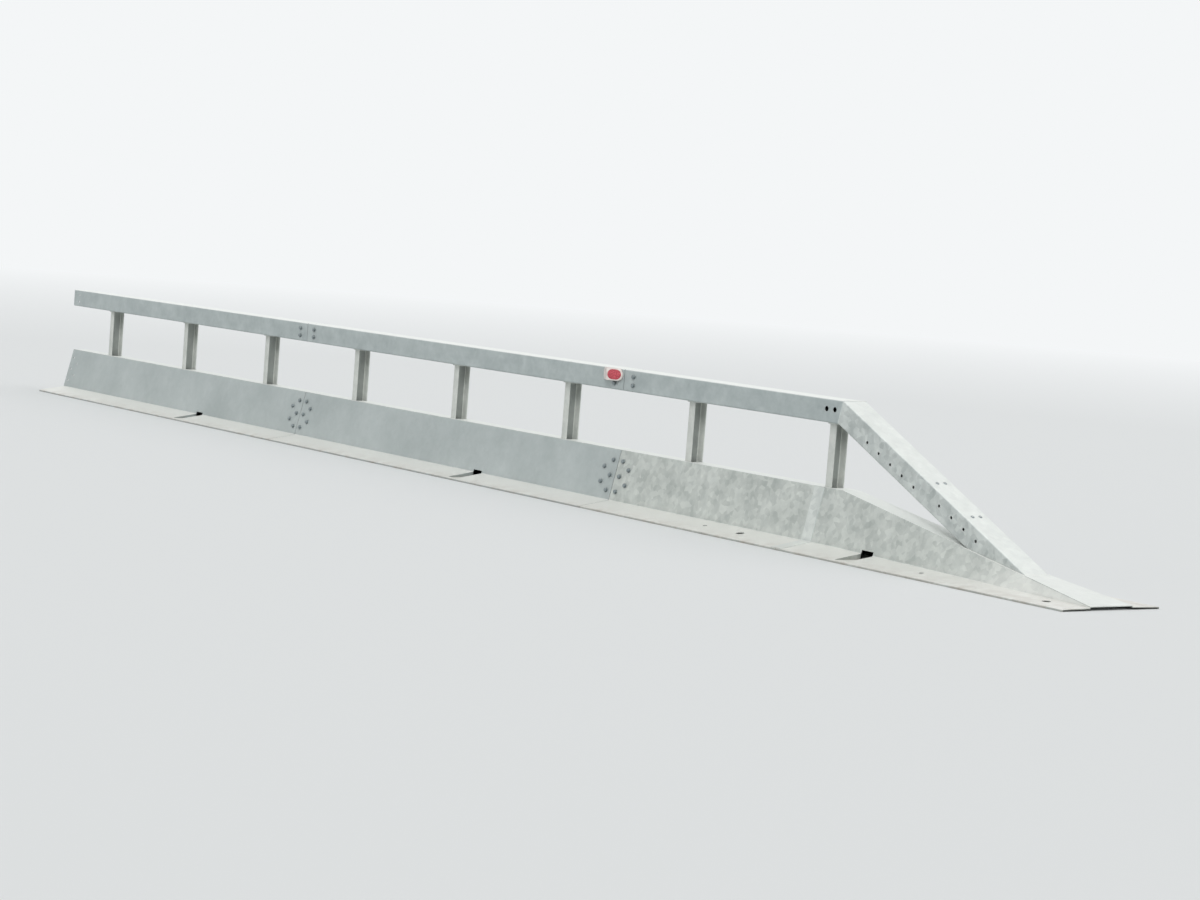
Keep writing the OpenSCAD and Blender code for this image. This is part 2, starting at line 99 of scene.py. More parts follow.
def addNode(tree, kind, inputs=None, **settings):
    node = tree.nodes.new("ShaderNode" + kind)
    for key, value in settings.items():
        setattr(node, key, value)
    for key, value in (inputs or {}).items():
        if isinstance(value, bpy.types.NodeSocket):
            tree.links.new(value, node.inputs[key])
        else:
            node.inputs[key].default_value = value
    return node


def emptyMaterial(name):
    material = bpy.data.materials.new(name)
    material.use_nodes = True
    material.node_tree.nodes.clear()
    return material, material.node_tree


# Hot-dip galvanised steel: a skin of zinc crystals that weathers to matt grey. It gives soft clouds, a faint
# broken spangle, light runs where the zinc drained off, a chalky bloom with painted top light on the faces
# that look up, and painted shade in the corners.
zinc = {
    "dark": "#a9b2b0", "light": "#c8cfcb", "mark": "#8f9a9a", "bloom": "#efefea", "dust": "#8d7a64",
    # the dark grey of the painted shade in corners and recesses
    "corner": "#5d605c",
    "cloudMm": 170, "cloudShare": 0.6, "runMm": 55, "runStretch": (1, 1, 0.15), "runShare": 0.12,
    "spangleMm": 24, "spangleShare": 0.2,  # real crystals are 8 to 15 mm; these are larger, so that they show
    "markMm": 60, "markShare": 0.3, "bloomShare": 0.95,
    "dustMm": 120, "dustHigh": 42, "dustFalloff": 2.2, "dustShare": 0.75,
    # reach and strength of the painted shade in corners and recesses
    "cornerMm": 30, "cornerShare": 0.35,
    "rough": (0.46, 0.62), "metallic": 0.4, "grainMm": 7, "grainDepth": 0.3, "grainShare": 0.25,
}


def galvanised(name, **changes):
    look = {**zinc, **changes}
    material, tree = emptyMaterial(name)
    place = addNode(tree, "TexCoord").outputs["Object"]

    clouds = addNode(tree, "TexNoise", {"Vector": place, "Scale": perMetre(look["cloudMm"]), "Detail": 6.0,
                                        "Roughness": 0.65})
    cloudTone = addNode(tree, "MapRange", {"Value": clouds.outputs["Fac"], "From Min": 0.32, "From Max": 0.68,
                                           "To Max": look["cloudShare"]})
    alongRuns = addNode(tree, "Mapping", {"Vector": place, "Scale": look["runStretch"]})
    runs = addNode(tree, "TexNoise", {"Vector": alongRuns.outputs["Vector"], "Scale": perMetre(look["runMm"]),
                                      "Detail": 3.0})
    runTone = addNode(tree, "MapRange", {"Value": runs.outputs["Fac"], "From Min": 0.35, "From Max": 0.65,
                                         "To Max": look["runShare"]})
    crystals = addNode(tree, "TexVoronoi", {"Vector": place, "Scale": perMetre(look["spangleMm"])})
    crystal = addNode(tree, "SeparateColor", {"Color": crystals.outputs["Color"]}).outputs["Red"]
    crystalTone = addNode(tree, "MapRange", {"Value": crystal, "To Max": look["spangleShare"]})
    tone = addNode(tree, "Math", {0: cloudTone.outputs[0], 1: runTone.outputs[0]}, operation="ADD")
    tone = addNode(tree, "Math", {0: tone.outputs[0], 1: crystalTone.outputs[0]}, operation="ADD")
    colour = addNode(tree, "Mix", {"Factor": tone.outputs[0], "A": linear(look["dark"]),
                                   "B": linear(look["light"])}, data_type="RGBA")

    # Dull ring-shaped marks, where the zinc cooled slowly
    rings = addNode(tree, "TexVoronoi", {"Vector": place, "Scale": perMetre(look["markMm"])},
                    feature="SMOOTH_F1")
    marks = addNode(tree, "MapRange", {"Value": rings.outputs["Distance"], "From Min": 0.35, "From Max": 0.7,
                                       "To Max": look["markShare"]})
    patchy = addNode(tree, "Math", {0: marks.outputs[0], 1: cloudTone.outputs[0]}, operation="MULTIPLY")
    colour = addNode(tree, "Mix", {"Factor": patchy.outputs[0], "A": colour.outputs["Result"],
                                   "B": linear(look["mark"])}, data_type="RGBA")

    # Chalky bloom and painted top light: what faces up is mixed towards near-white
    normal = addNode(tree, "NewGeometry").outputs["Normal"]
    facing = addNode(tree, "SeparateXYZ", {"Vector": normal}).outputs["Z"]
    bloom = addNode(tree, "MapRange", {"Value": facing, "From Min": 0.3, "From Max": 0.95,
                                       "To Max": look["bloomShare"]})
    colour = addNode(tree, "Mix", {"Factor": bloom.outputs[0], "A": colour.outputs["Result"],
                                   "B": linear(look["bloom"])}, data_type="RGBA")

    # Dust: thickest on the lip of the foot
    height = addNode(tree, "SeparateXYZ", {"Vector": place}).outputs["Z"]
    low = addNode(tree, "MapRange", {"Value": height, "From Min": 0.0, "From Max": look["dustHigh"] * mm,
                                     "To Min": 1.0, "To Max": 0.0})
    low = addNode(tree, "Math", {0: low.outputs[0], 1: look["dustFalloff"]}, operation="POWER")
    specks = addNode(tree, "TexNoise", {"Vector": place, "Scale": perMetre(look["dustMm"]), "Detail": 7.0,
                                        "Roughness": 0.7})
    patches = addNode(tree, "MapRange", {"Value": specks.outputs["Fac"], "From Min": 0.38, "From Max": 0.68,
                                         "To Max": look["dustShare"]})
    dust = addNode(tree, "Math", {0: low.outputs[0], 1: patches.outputs[0]}, operation="MULTIPLY")
    colour = addNode(tree, "Mix", {"Factor": dust.outputs[0], "A": colour.outputs["Result"],
                                   "B": linear(look["dust"])}, data_type="RGBA")
    # Painted shade: ambient occlusion mixes a dark grey into corners, recesses and the gaps between parts
    openness = addNode(tree, "AmbientOcclusion", {"Distance": look["cornerMm"] * mm}, samples=4)
    corner = addNode(tree, "MapRange", {"Value": openness.outputs["AO"], "From Min": 0.35, "From Max": 0.95,
                                        "To Min": look["cornerShare"], "To Max": 0.0})
    colour = addNode(tree, "Mix", {"Factor": corner.outputs[0], "A": colour.outputs["Result"],
                                   "B": linear(look["corner"])}, data_type="RGBA")

    rough = addNode(tree, "MapRange", {"Value": crystal, "To Min": look["rough"][0],
                                       "To Max": look["rough"][1]})
    metal = addNode(tree, "MapRange", {"Value": dust.outputs[0], "From Min": 0.0, "From Max": 0.6,
                                       "To Min": look["metallic"], "To Max": 0.0})
    grain = addNode(tree, "TexNoise", {"Vector": place, "Scale": perMetre(look["grainMm"]), "Detail": 4.0})
    bump = addNode(tree, "Bump", {"Height": grain.outputs["Fac"], "Strength": look["grainShare"],
                                  "Distance": look["grainDepth"] * mm})
    shader = addNode(tree, "BsdfPrincipled", {"Base Color": colour.outputs["Result"],
                                              "Roughness": rough.outputs[0], "Metallic": metal.outputs[0],
                                              "Normal": bump.outputs[0]})
    addNode(tree, "OutputMaterial", {"Surface": shader.outputs[0]})
    return material


# Moulded ABS: a satin skin with fine moulding grain, under a thin film of grime
def mouldedAbs(name):
    look = {"clean": "#e6dcd8", "film": "#c9c0ba", "filmMm": 35, "grainMm": 1.5, "rough": (0.38, 0.55)}
    material, tree = emptyMaterial(name)
    place = addNode(tree, "TexCoord").outputs["Object"]
    film = addNode(tree, "TexNoise", {"Vector": place, "Scale": perMetre(look["filmMm"]), "Detail": 5.0})
    share = addNode(tree, "MapRange", {"Value": film.outputs["Fac"], "From Min": 0.38, "From Max": 0.72})
    colour = addNode(tree, "Mix", {"Factor": share.outputs[0], "A": linear(look["clean"]),
                                   "B": linear(look["film"])}, data_type="RGBA")
    rough = addNode(tree, "MapRange", {"Value": share.outputs[0], "To Min": look["rough"][0],
                                       "To Max": look["rough"][1]})
    grain = addNode(tree, "TexNoise", {"Vector": place, "Scale": perMetre(look["grainMm"])})
    bump = addNode(tree, "Bump", {"Height": grain.outputs["Fac"], "Strength": 0.15, "Distance": 0.1 * mm})
    shader = addNode(tree, "BsdfPrincipled", {"Base Color": colour.outputs["Result"],
                                              "Roughness": rough.outputs[0], "Normal": bump.outputs[0]})
    addNode(tree, "OutputMaterial", {"Surface": shader.outputs[0]})
    return material


# Prismatic acrylic: a glossy face over rows of cube corners; their light and dark red flashes are painted
# reflection, a random tone per cell
def prismaticAcrylic(name):
    look = {"bright": "#c84b58", "deep": "#9a2c3a", "cellMm": 6, "rough": 0.25, "acrylicIor": 1.49,
            "coat": 0.5}
    material, tree = emptyMaterial(name)
    place = addNode(tree, "TexCoord").outputs["Object"]
    cells = addNode(tree, "TexVoronoi", {"Vector": place, "Scale": perMetre(look["cellMm"]),
                                         "Randomness": 0.15})
    paintedFlash = addNode(tree, "SeparateColor", {"Color": cells.outputs["Color"]}).outputs["Red"]
    colour = addNode(tree, "Mix", {"Factor": paintedFlash, "A": linear(look["deep"]), "B": linear(look["bright"])},
                     data_type="RGBA")
    bump = addNode(tree, "Bump", {"Height": cells.outputs["Distance"], "Strength": 0.4, "Distance": 0.6 * mm},
                   invert=True)
    shader = addNode(tree, "BsdfPrincipled", {"Base Color": colour.outputs["Result"],
                                              "Roughness": look["rough"], "IOR": look["acrylicIor"],
                                              "Coat Weight": look["coat"], "Normal": bump.outputs[0]})
    addNode(tree, "OutputMaterial", {"Surface": shader.outputs[0]})
    return material


# What several finishes have in common
terminalZinc = {"spangleMm": 32, "spangleShare": 0.5, "runShare": 0.05}
# a paler bloom and painted top light on the faces that look up
paleBloomAndTopLight = {"bloom": "#f4f6f2", "bloomShare": 0.68}
# Channels: finer clouds and spangle, and a tighter, weaker painted shade in the corners
channelZinc = {"cloudMm": 90, "spangleMm": 16, "cornerMm": 12, "cornerShare": 0.12}

finishes = {
    # folded sheet of the terminal: neutral grey and mottled, with a spangle that shows
    "galvanised_panel": galvanised("galvanisedFoldedSheet", dark="#9fa5a1", light="#ced2cd", **terminalZinc),
    # folded sheet of the straight elements: bluer and smoother, in large clouds
    "straight_panel": galvanised("galvanisedFoldedSheetBlue", dark="#a0a8a7", light="#bcc3c2", cloudMm=420,
                                 runShare=0.04, spangleShare=0.25, markShare=0.15),
    # caps, nose plate and seam strips: paler plate, with chalky bloom and painted top light on top
    "galvanised_cap": galvanised("galvanisedPlate", dark="#b4bab7", light="#d8dcd8", **paleBloomAndTopLight,
                                 **terminalZinc),
    # rolled box section: bluer and smoother, with runs along it
    "galvanised_rail": galvanised("galvanisedBoxSection", dark="#9ca5a5", light="#bcc4c3", bloom="#f4f6f2",
                                  cloudMm=130, runStretch=(0.15, 1, 1), rough=(0.4, 0.55)),
    # the ramp's box section: lighter, with the terminal's spangle
    "ramp_rail": galvanised("galvanisedRampSection", dark="#a0a7a5", light="#d0d5d2", cloudMm=110, **paleBloomAndTopLight,
                            **terminalZinc),
    # hot-rolled channel: plain warm grey, lighter than the sheet; the web between the flanges gets a darker
    # finish, which is painted shade in the channel's recess
    "galvanised_post": galvanised("galvanisedChannel", dark="#bbbfba", light="#d8dad5", **channelZinc),
    "post_web_shade": galvanised("galvanisedChannelWebShade", dark="#8f9390", light="#a9ada9", **channelZinc),
    # plates inside the body: dull, with more dust
    "galvanised_inner": galvanised("galvanisedInnerPlate", dark="#868f90", light="#a5adad", dustHigh=120),
    # spun galvanised bolts: darker and smoother than the sheet round them
    "fastener": galvanised("spunGalvanisedBolt", dark="#6f787b", light="#9aa3a5", bloomShare=0.3, spangleMm=5,
                           cloudMm=25, metallic=0.65, rough=(0.36, 0.5), cornerMm=8),
    # weld runs under thick zinc: a little paler and lumpier
    "weld": galvanised("galvanisedWeldRun", dark="#b2bab9", light="#d3d9d6", spangleMm=5, cloudMm=30,
                       cornerMm=8, grainShare=0.5),
    "reflector_housing": mouldedAbs("mouldedAbsRim"),
    "reflector_lens": prismaticAcrylic("prismaticAcrylicRed"),
}


def finishOf(node, slot):
    if node.startswith(("near_", "far_")) and node.endswith("_panel"):
        return finishes["straight_panel"]
    return finishes["ramp_rail" if node == "ramp_rail" else slot]


for row in frame["record"]["subparts"]:
    materials = frame["nodes"][row["node"]].data.materials
    materials.clear()
    materials.append(finishOf(row["node"], row["material_slot"]))
print("finishes given to the nodes:", len(finishes))


# Mesh building. Rings are lists of points. A solid is a pile of rings with a cap at both ends; a closed one
# has no caps and runs back into its first ring.

def addSolid(bm, rings, closed=False):
    made = [[bm.verts.new(point) for point in ring] for ring in rings]
    following = made[1:] + made[:1] if closed else made[1:]
    for lower, upper in zip(made, following):
        for i in range(len(lower)):
            j = (i + 1) % len(lower)
            bm.faces.new((lower[i], lower[j], upper[j], upper[i]))
    if not closed:
        bm.faces.new(reversed(made[0]))
        bm.faces.new(made[-1])


def finishPiece(bm, name, finish, stands=(), sharpAngle=35):
    bmesh.ops.recalc_face_normals(bm, faces=bm.faces)
    mesh = bpy.data.meshes.new(name)
    bm.to_mesh(mesh)
    bm.free()
    mesh.materials.append(finishes[finish])
    mesh.shade_smooth()
    mesh.set_sharp_from_angle(angle=math.radians(sharpAngle))
    piece = bpy.data.objects.new(name, mesh)
    bpy.context.scene.collection.objects.link(piece)
    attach(piece, rootBody)
    if stands:
        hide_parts(*stands)
    print("made", name, len(mesh.polygons), "faces")
    return piece


# A seat's Z axis is the surface's normal, and its unit is 1 mm
def seatOn(point, normal, twist=0.0):
    turn = normal.to_track_quat("Z", "X").to_matrix().to_4x4()
    return Matrix.Translation(point) @ turn @ Matrix.Rotation(twist, 4, "Z") @ Matrix.Scale(mm, 4)


# Fasteners: M16 bolts with a washer under the head and under the nut

bolt = {"flats": 24, "headHigh": 10, "nutHigh": 13, "chamfer": 30, "washerRadius": 15, "washerThick": 3,
        "washerEdge": 0.6, "shankRadius": 8, "threadPast": 6, "threadEdge": 1, "faceRadius": 11.2,
        "sides": 36, "plates": 9.3}
hexTurn = math.pi / 3  # from one flat to the next


def roundRing(seat, radius, height, sides=bolt["sides"]):
    angles = [2 * math.pi * i / sides for i in range(sides)]
    return [seat @ Vector((radius * math.cos(a), radius * math.sin(a), height)) for a in angles]


# Ring round a hexagon, where the chamfer takes the corners down (fall 1) or up (fall -1)
def hexRing(seat, height, fall):
    ring = []
    for i in range(bolt["sides"]):
        angle = 2 * math.pi * i / bolt["sides"]
        offFlat = (angle + hexTurn / 2) % hexTurn - hexTurn / 2
        reach = bolt["flats"] / 2 / math.cos(offFlat)
        drop = fall * (reach - bolt["faceRadius"]) * math.tan(math.radians(bolt["chamfer"]))
        ring.append(seat @ Vector((reach * math.cos(angle), reach * math.sin(angle), height - drop)))
    return ring


def addWasher(bm, seat, low):
    radius = bolt["washerRadius"]
    edge = bolt["washerEdge"]
    top = low + bolt["washerThick"]
    addSolid(bm, [roundRing(seat, radius, low), roundRing(seat, radius, top - edge),
                  roundRing(seat, radius - edge, top)])


def addBolt(bm, point, normal):
    outside = seatOn(point, normal, chance.uniform(0, hexTurn))
    inside = seatOn(point, normal, chance.uniform(0, hexTurn))
    face = bolt["faceRadius"]
    top = bolt["washerThick"] + bolt["headHigh"]
    addWasher(bm, outside, 0)
    addSolid(bm, [hexRing(outside, bolt["washerThick"], 0), hexRing(outside, top, 1),
                  roundRing(outside, face, top)])
    nutTop = -bolt["plates"] - bolt["washerThick"]
    nutEnd = nutTop - bolt["nutHigh"]
    addWasher(bm, inside, nutTop)
    addSolid(bm, [roundRing(inside, face, nutTop), hexRing(inside, nutTop, 1), hexRing(inside, nutEnd, -1),
                  roundRing(inside, face, nutEnd)])
    shank = bolt["shankRadius"]
    edge = bolt["threadEdge"]
    threadEnd = nutEnd - bolt["threadPast"]
    addSolid(bm, [roundRing(inside, shank - edge, threadEnd), roundRing(inside, shank, threadEnd + edge),
                  roundRing(inside, shank, 0)])


# Five bolts on each side of a panel joint: three near it and two further out, down the slope
panelJoint = {"nearColumn": 51, "farColumn": 130, "firstRow": 70, "rowPitch": 50.5,
              "rows": {"nearColumn": (0, 2, 4), "farColumn": (1, 3)}}
for jointName, jointX in joints.items():
    for sideName, side in flanks.items():
        bm = bmesh.new()
        mirror = Matrix.Diagonal((1, side, 1))
        for column, rows in panelJoint["rows"].items():
            for row in rows:
                down = (panelJoint["firstRow"] + row * panelJoint["rowPitch"]) * mm
                for toward in (-1, 1):
                    along = Vector((jointX + toward * panelJoint[column] * mm, 0, 0))
                    addBolt(bm, along + mirror @ (panelTop + panelDown * down), mirror @ panelOut)
        finishPiece(bm, f"{jointName}_{sideName}_panel_bolts", "fastener")

# Two bolts through each side of the rail, on both sides of its joint; the reflector covers one of them
railJoint = {"fromJoint": 100, "pitch": 56}
housingLow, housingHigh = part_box("reflector_housing")
reflectorX = (housingLow.x + housingHigh.x) / 2
for jointName, jointX in joints.items():
    bm = bmesh.new()
    for side in (-1, 1):
        for toward in (-1, 1):
            for up in (-1, 1):
                x = jointX + toward * railJoint["fromJoint"] * mm
                underReflector = side < 0 < up and abs(x - reflectorX) < railJoint["pitch"] * mm
                if not underReflector:
                    z = railMiddleZ + up * railJoint["pitch"] / 2 * mm
                    addBolt(bm, Vector((x, side * railHigh.y, z)), Vector((0, side, 0)))
    finishPiece(bm, f"{jointName}_rail_bolts", "fastener")

# Low button heads in the ramp's top face; places are mm down the ramp from the bend, and the profile is
# pairs of radius and height
button = {"places": (870, 1206), "halfPitch": 30, "sides": 24,
          "profile": ((11, 0), (11, 1.2), (9.6, 3.6), (6.6, 5.4), (2.6, 6))}
bm = bmesh.new()
rampNormal = Vector((math.sin(rampAngle), 0, math.cos(rampAngle)))
rampDown = Vector((math.cos(rampAngle), 0, -math.sin(rampAngle)))
for down in button["places"]:
    for side in (-1, 1):
        point = Vector((bendX, side * button["halfPitch"] * mm, railHigh.z)) + rampDown * down * mm
        seat = seatOn(point, rampNormal)
        addSolid(bm, [roundRing(seat, radius, height, button["sides"])
                      for radius, height in button["profile"]])
finishPiece(bm, "ramp_button_heads", "fastener")


# Weld runs: a low rippled bead along a path of (point, normal) pairs

bead = {"arcSteps": 6, "jitter": 0.4, "swellWide": 0.2, "sharpAngle": 80}


def addBead(bm, path, look, closed=False):
    ends = path[1:] + path[:1] if closed else path[1:]
    stations = []
    for (start, startNormal), (end, endNormal) in zip(path, ends):
        count = max(1, round((end - start).length / (look["step"] * mm)))
        for k in range(count):
            stations.append((start.lerp(end, k / count), startNormal.lerp(endNormal, k / count).normalized()))
    if not closed:
        stations.append(path[-1])
    arc = [math.pi * k / bead["arcSteps"] for k in range(bead["arcSteps"] + 1)]
    rings = []
    for i, (point, normal) in enumerate(stations):
        before = stations[i - 1 if closed else max(i - 1, 0)][0]
        after = stations[(i + 1) % len(stations) if closed else min(i + 1, len(stations) - 1)][0]
        across = (after - before).normalized().cross(normal).normalized()
        jitter = chance.uniform(-bead["jitter"], bead["jitter"])
        swell = 1 + look["ripple"] * (i % 2 - 0.5) + look["ripple"] * jitter
        widened = 1 + bead["swellWide"] * (swell - 1)
        rings.append([point + across * look["wide"] / 2 * mm * math.cos(angle) * widened
                      + normal * (look["high"] * swell * math.sin(angle) - look["sunk"]) * mm
                      for angle in arc])
    addSolid(bm, rings, closed)


# Outline round a box section, as (y, z) offsets from its middle and the outward direction there
def boxOutline(width, height, radius, steps=4):
    outline = []
    for quarter, (sy, sz) in enumerate(((1, 1), (-1, 1), (-1, -1), (1, -1))):
        for k in range(steps + 1):
            angle = math.pi / 2 * (quarter + k / steps)
            direction = (math.cos(angle), math.sin(angle))
            outline.append((sy * (width / 2 - radius) + radius * direction[0],
                            sz * (height / 2 - radius) + radius * direction[1], direction))
    return outline


# Mitre weld round the rail where the ramp starts
bendWeld = {"step": 4, "wide": 9, "high": 1.8, "sunk": 0.3, "ripple": 0.5, "cornerRadius": 10}
railWide = (railHigh.y - railLow.y) / mm
railTall = (railHigh.z - railLow.z) / mm
mitre = rampAngle / 2
path = []
for y, z, (outY, outZ) in boxOutline(railWide, railTall, bendWeld["cornerRadius"]):
    below = railTall / 2 - z
    point = Vector((bendX - below * math.tan(mitre) * mm, y * mm, railHigh.z - below * mm))
    path.append((point, Vector((outZ * math.sin(mitre), outY, outZ * math.cos(mitre)))))
bm = bmesh.new()
addBead(bm, path, bendWeld, closed=True)
finishPiece(bm, "bend_weld", "weld", sharpAngle=bead["sharpAngle"])

# Weld across the ramp's foot, and down both sides where the ramp sinks between the side panels
footWeld = {"step": 4, "wide": 10, "high": 2.2, "sunk": 0.3, "ripple": 0.5, "sideHalf": 94, "saddleZ": 189,
            "saddleFromBend": 1100.8, "plateTop": 105, "sheetTop": 101, "lean": 0.3}
bm = bmesh.new()
half = footWeld["sideHalf"] * mm
footNormal = (rampNormal + Vector((0, 0, 1))).normalized()
footZ = footWeld["plateTop"] * mm
addBead(bm, [(Vector((rampFootX, -half, footZ)), footNormal), (Vector((rampFootX, half, footZ)), footNormal)],
        footWeld)
for side in (-1, 1):
    top = Vector((bendX + footWeld["saddleFromBend"] * mm, side * half, footWeld["saddleZ"] * mm))
    foot = Vector((rampFootX, side * half, footWeld["sheetTop"] * mm))
    outward = Vector((0, side * footWeld["lean"], 1)).normalized()
    addBead(bm, [(top, outward), (foot, outward)], footWeld)
finishPiece(bm, "ramp_foot_weld", "weld", sharpAngle=bead["sharpAngle"])

# Welds down both edges of the strip that covers the seam of the terminal's panels
seamWeld = {"step": 5, "wide": 6, "high": 2.4, "sunk": 0.2, "ripple": 0.4}
stripLow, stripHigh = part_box("front_seam_strip")
for sideName, side in flanks.items():
    mirror = Matrix.Diagonal((1, side, 1))
    footOut = Vector((0, panelFold.z - panelLip.z, panelLip.y - panelFold.y)).normalized()
    foldOut = (mirror @ footOut + mirror @ panelOut).normalized()
    bm = bmesh.new()
    for x in (stripLow.x, stripHigh.x):
        lip, fold, top = (Vector((x, 0, 0)) + mirror @ point for point in (panelLip, panelFold, panelTop))
        addBead(bm, [(lip, mirror @ footOut), (fold, foldOut), (top, mirror @ panelOut)], seamWeld)
    finishPiece(bm, f"{sideName}_seam_welds", "weld", sharpAngle=bead["sharpAngle"])


# Posts: a rolled channel, open towards the nose, with a head plate welded under the rail
post = {"count": 8, "depth": 100, "wide": 55, "flange": 7, "web": 5, "root": 7, "toe": 2, "back": 3,
        "rootSteps": 5, "toeSteps": 2, "backSteps": 3, "headThick": 8, "headRadius": 4, "headEdge": 1,
        "headSteps": 3, "webFacing": 0.9}


def arcPoints(x, y, radius, start, end, steps):
    angles = [math.radians(start + (end - start) * k / steps) for k in range(steps + 1)]
    return [(x + radius * math.cos(a), y + radius * math.sin(a)) for a in angles]


def channelOutline():
    outside = post["depth"] / 2
    inside = outside - post["flange"]
    webBack, flangeTip = -post["wide"] / 2, post["wide"] / 2
    root, toe, back = post["root"], post["toe"], post["back"]
    half = arcPoints(webBack + post["web"] + root, inside - root, root, 180, 90, post["rootSteps"])
    half += arcPoints(flangeTip - toe, inside + toe, toe, -90, 0, post["toeSteps"])
    half += arcPoints(flangeTip - toe, outside - toe, toe, 0, 90, post["toeSteps"])
    half += arcPoints(webBack + back, outside - back, back, 90, 180, post["backSteps"])
    return half + [(x, -y) for x, y in reversed(half)]


def plateRing(x, z, inset):
    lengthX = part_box("post_1")[1].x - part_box("post_1")[0].x
    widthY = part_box("post_1")[1].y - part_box("post_1")[0].y
    rim = boxOutline(lengthX / mm - 2 * inset, widthY / mm - 2 * inset, post["headRadius"],
                     post["headSteps"])
    return [Vector((x + a * mm, b * mm, z)) for a, b, _ in rim]


postWeld = {"step": 5, "wide": 7, "high": 3, "sunk": 0.6, "ripple": 0.4}
weldMesh = bmesh.new()
for name in (f"post_{i}" for i in range(1, post["count"] + 1)):
    low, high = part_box(name)
    x = (low.x + high.x) / 2
    headZ = high.z - post["headThick"] * mm
    bm = bmesh.new()
    addSolid(bm, [[Vector((x + a * mm, b * mm, z)) for a, b in channelOutline()] for z in (low.z, headZ)])
    edge = post["headEdge"]
    addSolid(bm, [plateRing(x, headZ, edge), plateRing(x, headZ + edge * mm, 0),
                  plateRing(x, high.z - edge * mm, 0), plateRing(x, high.z, edge)])
    section = finishPiece(bm, f"{name}_section", "galvanised_post", stands=[name])

    # The web's face between the flanges looks to the nose, and lies behind the post's middle; it gets the
    # darker finish, painted shade for the recess
    section.data.materials.append(finishes["post_web_shade"])
    for face in section.data.polygons:
        if face.normal.x > post["webFacing"] and face.center.x < x:
            face.material_index = 1

    rim = boxOutline((high.x - low.x) / mm, (high.y - low.y) / mm, post["headRadius"], post["headSteps"])
    addBead(weldMesh, [(Vector((x + a * mm, b * mm, high.z)), Vector((outX, outY, -1)).normalized())
                       for a, b, (outX, outY) in rim], postWeld, closed=True)
    for side in (-1, 1):
        out = Vector((0, side, -1)).normalized()
        y = side * post["depth"] / 2 * mm
        reach = post["wide"] / 2 * mm
        addBead(weldMesh, [(Vector((x - reach, y, headZ)), out), (Vector((x + reach, y, headZ)), out)],
                postWeld)
finishPiece(weldMesh, "post_head_welds", "weld", sharpAngle=bead["sharpAngle"])


# Reflector: an oval moulding with a ridge between two slopes, and an oval lens on the slope to the nose.
# Heights are off the rail's face; the lens is sunk into the slope and stands proud of it.
reflector = {"edge": 6, "ridge": 12, "ridgeSoft": 1.6, "rim": 7.3, "gap": 0.3, "sunk": 2, "proud": 2,
             "rimRound": 3, "lensRound": 1.2, "endTall": 2, "steps": 16, "cornerShare": 0.8,
             "cornerSteps": 3}
housingSize = (housingHigh - housingLow) / mm
longHalf, deep, tallHalf = housingSize.x / 2, housingSize.y, housingSize.z / 2


# Stations between two places along the rail, denser at both ends
def spaced(start, end):
    share = [(1 - math.cos(math.pi * k / reflector["steps"])) / 2 for k in range(reflector["steps"] + 1)]
    return [start + (end - start) * s for s in share]


# Sections across the moulding, from `low` to `high` over its slope, with rounded front edges and ends
def slopeRings(stations, inset, low, high, rounding):
    rings = []
    soft = reflector["ridgeSoft"]
    radius = tallHalf - inset
    centre = (stations[0] + stations[-1]) / 2
    straight = max((stations[-1] - stations[0]) / 2 - radius, 0)
    for along in stations:
        share = (longHalf - abs(along)) / (longHalf - reflector["ridge"] / 2)
        slope = reflector["edge"] + (deep - reflector["edge"]) * share
        slope = -soft * math.log(math.exp(-slope / soft) + math.exp(-deep / soft))
        past = max(abs(along - centre) - straight, 0)
        tall = math.sqrt(max(radius ** 2 - past ** 2, reflector["endTall"] ** 2))
        fromEnd = min(along - stations[0], stations[-1] - along, rounding)
        top = slope + high - rounding + math.sqrt(rounding ** 2 - (rounding - fromEnd) ** 2)
        corner = min(rounding, reflector["cornerShare"] * tall)
        half = [(max(slope + low, 0), tall)]
        half += arcPoints(top - corner, tall - corner, corner, 90, 0, reflector["cornerSteps"])
        section = half + [(out, -up) for out, up in reversed(half)]
        rings.append([Vector((reflectorX + along * mm, housingHigh.y - out * mm,
                              (housingLow.z + housingHigh.z) / 2 + up * mm)) for out, up in section])
    return rings


housingStations = spaced(-longHalf, 0) + spaced(0, longHalf)[1:]
lensStations = spaced(reflector["ridge"] / 2 + reflector["gap"], longHalf - reflector["rim"])
for part, rings in (
        ("housing", slopeRings(housingStations, 0, -deep, 0, reflector["rimRound"])),
        ("lens", slopeRings(lensStations, reflector["rim"], -reflector["sunk"], reflector["proud"],
                            reflector["lensRound"]))):
    bm = bmesh.new()
    addSolid(bm, rings)
    node = f"reflector_{part}"
    finishPiece(bm, f"{node}_moulding", node, stands=[node])


# Floor, sky, lamps and camera

stage = {"floor": "#e4e6e6", "sky": "#f4f6f7", "radius": 90, "sides": 96, "fadeFrom": 14, "fadeTo": 40,
         "drop": 0.5, "rough": 0.9}
bm = bmesh.new()
bmesh.ops.create_circle(bm, cap_ends=True, radius=stage["radius"], segments=stage["sides"])
mesh = bpy.data.meshes.new("paleFloor")
bm.to_mesh(mesh)
bm.free()
floor = bpy.data.objects.new("paleFloor", mesh)
floor.location.z = -stage["drop"] * mm
bpy.context.scene.collection.objects.link(floor)
material, tree = emptyMaterial("matPaleFloor")
place = addNode(tree, "TexCoord").outputs["Object"]
away = addNode(tree, "VectorMath", {0: place}, operation="LENGTH").outputs["Value"]
fade = addNode(tree, "MapRange", {"Value": away, "From Min": stage["fadeFrom"], "From Max": stage["fadeTo"]})
near = addNode(tree, "BsdfPrincipled", {"Base Color": linear(stage["floor"]), "Roughness": stage["rough"]})
far = addNode(tree, "Emission", {"Color": linear(stage["sky"]), "Strength": 1.0})
blended = addNode(tree, "MixShader", {0: fade.outputs[0], 1: near.outputs[0], 2: far.outputs[0]})
addNode(tree, "OutputMaterial", {"Surface": blended.outputs[0]})
mesh.materials.append(material)

